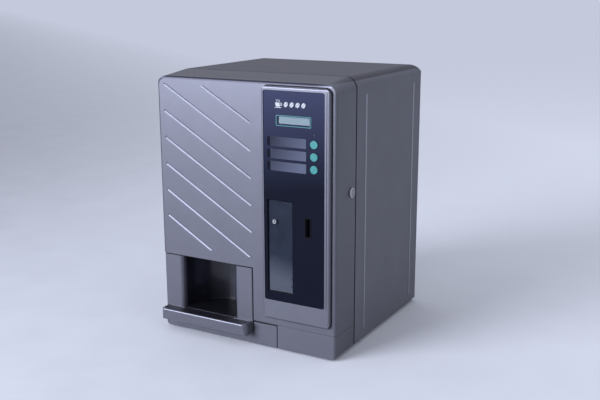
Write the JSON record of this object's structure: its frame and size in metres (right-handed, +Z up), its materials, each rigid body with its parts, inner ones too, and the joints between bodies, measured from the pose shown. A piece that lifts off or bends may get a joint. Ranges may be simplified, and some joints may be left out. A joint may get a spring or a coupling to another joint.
{
  "type": "coffee vending machine",
  "caption": "Table-top hot coffee vending machine: boxy cabinet, deep hinged front door with display, keys and coin slot, pull-out cup station and drip tray.",
  "frame": {"origin": "on the surface it stands on, below the middle of the whole object's box", "axes": "+Z up, -Y out of the front door, +X to the right seen from the front"},
  "size_m": [0.3893, 0.4196, 0.512],
  "materials": {
    "silver_paint": "satin silver-grey paint",
    "side_paint": "satin grey paint, fine texture",
    "zinc_sheet": "galvanised sheet",
    "steel_bright": "polished",
    "silver_plastic": "silver moulded plastic",
    "navy_gloss": "dark blue gloss panel",
    "black_gloss": "black gloss moulding",
    "black_plastic": "black moulded plastic",
    "teal_key": "teal keys, fine texture",
    "smoky_window": "smoky label windows",
    "lcd_glass": "pale backlit display",
    "cash_plate": "mottled plate",
    "white_plastic": "food-grade plastic",
    "clear_hose": "silicone",
    "board_green": "circuit board",
    "motor_can": "motor housing",
    "rubber": "soft rubber",
    "auger_blue": "auger plastic",
    "pump_brass": "brass and coil"
  },
  "bodies": {
    "cabinet": {"cabinet_shell": "side_paint", "base_chassis": "zinc_sheet", "rubber_feet": "rubber", "rear_panel": "zinc_sheet", "rear_screws": "steel_bright", "front_plinth": "silver_paint", "bulkhead": "zinc_sheet", "canister_shelf": "zinc_sheet", "hinge_brackets": "zinc_sheet", "lock_striker": "zinc_sheet", "power_inlet": "black_plastic", "canister_left": "white_plastic", "canister_middle": "white_plastic", "canister_right": "white_plastic", "auger_motors": "motor_can", "powder_chutes": "white_plastic", "mixing_bowl": "white_plastic", "whipper_motor": "motor_can", "boiler": "zinc_sheet", "air_break_tank": "white_plastic", "inlet_valve": "white_plastic", "water_pump": "pump_brass", "power_supply": "zinc_sheet", "main_board": "board_green", "drink_hose": "clear_hose"},
    "front_door": {"door_shell": "silver_paint", "door_inner_panel": "zinc_sheet", "control_bezel": "silver_plastic", "control_overlay": "navy_gloss", "lcd_module": "lcd_glass", "label_windows": "smoky_window", "button_board": "board_green", "coin_slot_insert": "black_plastic", "coin_validator": "black_plastic", "cash_box": "zinc_sheet", "cash_frame": "black_plastic", "lock_housing": "steel_bright", "spout_nozzle": "black_plastic"},
    "lock": {"lock_plug": "steel_bright"},
    "top_button": {"button_top": "teal_key"},
    "middle_button": {"button_middle": "teal_key"},
    "bottom_button": {"button_bottom": "teal_key"},
    "cash_cover": {"cash_door": "cash_plate"},
    "cash_turn": {"cash_knob": "steel_bright"},
    "cup_station": {"drawer_front": "silver_paint", "station_columns": "silver_paint", "niche_liner": "black_gloss"},
    "dreg_bin": {"waste_bin": "black_plastic"},
    "tray": {"drip_tray": "silver_plastic"},
    "grille": {"drip_grille": "black_plastic"},
    "power_rocker": {"rocker_switch": "black_plastic"},
    "whip": {"whipper": "white_plastic"},
    "feed_left": {"auger_left": "auger_blue"},
    "cover_left": {"lid_left": "black_plastic"},
    "feed_middle": {"auger_middle": "auger_blue"},
    "cover_middle": {"lid_middle": "black_plastic"},
    "feed_right": {"auger_right": "auger_blue"},
    "cover_right": {"lid_right": "black_plastic"}
  },
  "joints": [
    {"name": "door_swing", "type": "hinge", "parent": "cabinet", "child": "front_door", "pos_m": [-0.191, -0.117, 0.3], "axis": [0, 0, -1], "range_deg": [0, 105]},
    {"name": "lock_turn", "type": "hinge", "parent": "front_door", "child": "lock", "pos_m": [0.19, -0.1275, 0.307], "axis": [-1, 0, 0], "range_deg": [0, 90]},
    {"name": "top_press", "type": "slide", "parent": "front_door", "child": "top_button", "axis": [0, 1, 0], "range_m": [0, 0.0012], "stiffness_N_per_m": 600},
    {"name": "middle_press", "type": "slide", "parent": "front_door", "child": "middle_button", "axis": [0, 1, 0], "range_m": [0, 0.0012], "stiffness_N_per_m": 600},
    {"name": "bottom_press", "type": "slide", "parent": "front_door", "child": "bottom_button", "axis": [0, 1, 0], "range_m": [0, 0.0012], "stiffness_N_per_m": 600},
    {"name": "cash_door_swing", "type": "hinge", "parent": "front_door", "child": "cash_cover", "pos_m": [0.1008, -0.1852, 0.2], "axis": [0, 0, 1], "range_deg": [0, 92]},
    {"name": "cash_knob_turn", "type": "hinge", "parent": "cash_cover", "child": "cash_turn", "pos_m": [0.0667, -0.188, 0.252], "axis": [0, 1, 0], "range_deg": [0, 90]},
    {"name": "drawer_pull", "type": "slide", "parent": "cabinet", "child": "cup_station", "axis": [0, -1, 0], "range_m": [0, 0.19]},
    {"name": "bin_lift", "type": "slide", "parent": "cup_station", "child": "dreg_bin", "axis": [0, 0, 1], "range_m": [0, 0.028]},
    {"name": "tray_pull", "type": "slide", "parent": "cup_station", "child": "tray", "axis": [0, -1, 0], "range_m": [0, 0.12]},
    {"name": "grille_lift", "type": "slide", "parent": "tray", "child": "grille", "axis": [0, 0, 1], "range_m": [0, 0.02]},
    {"name": "power_rock", "type": "hinge", "parent": "cabinet", "child": "power_rocker", "pos_m": [-0.12, 0.193, 0.074], "axis": [1, 0, 0], "range_deg": [-8, 8]},
    {"name": "left_auger_turn", "type": "hinge", "parent": "cabinet", "child": "feed_left", "pos_m": [-0.106, 0, 0.334], "axis": [0, 1, 0], "continuous": true},
    {"name": "left_lid_lift", "type": "slide", "parent": "cabinet", "child": "cover_left", "axis": [0, 0, 1], "range_m": [0, 0.025]},
    {"name": "middle_auger_turn", "type": "hinge", "parent": "cabinet", "child": "feed_middle", "pos_m": [0, 0, 0.334], "axis": [0, 1, 0], "continuous": true},
    {"name": "middle_lid_lift", "type": "slide", "parent": "cabinet", "child": "cover_middle", "axis": [0, 0, 1], "range_m": [0, 0.025]},
    {"name": "right_auger_turn", "type": "hinge", "parent": "cabinet", "child": "feed_right", "pos_m": [0.106, 0, 0.334], "axis": [0, 1, 0], "continuous": true},
    {"name": "right_lid_lift", "type": "slide", "parent": "cabinet", "child": "cover_right", "axis": [0, 0, 1], "range_m": [0, 0.025]},
    {"name": "whipper_spin", "type": "hinge", "parent": "cabinet", "child": "whip", "pos_m": [0, 0, 0.178], "axis": [0, 1, 0], "continuous": true}
  ]
}
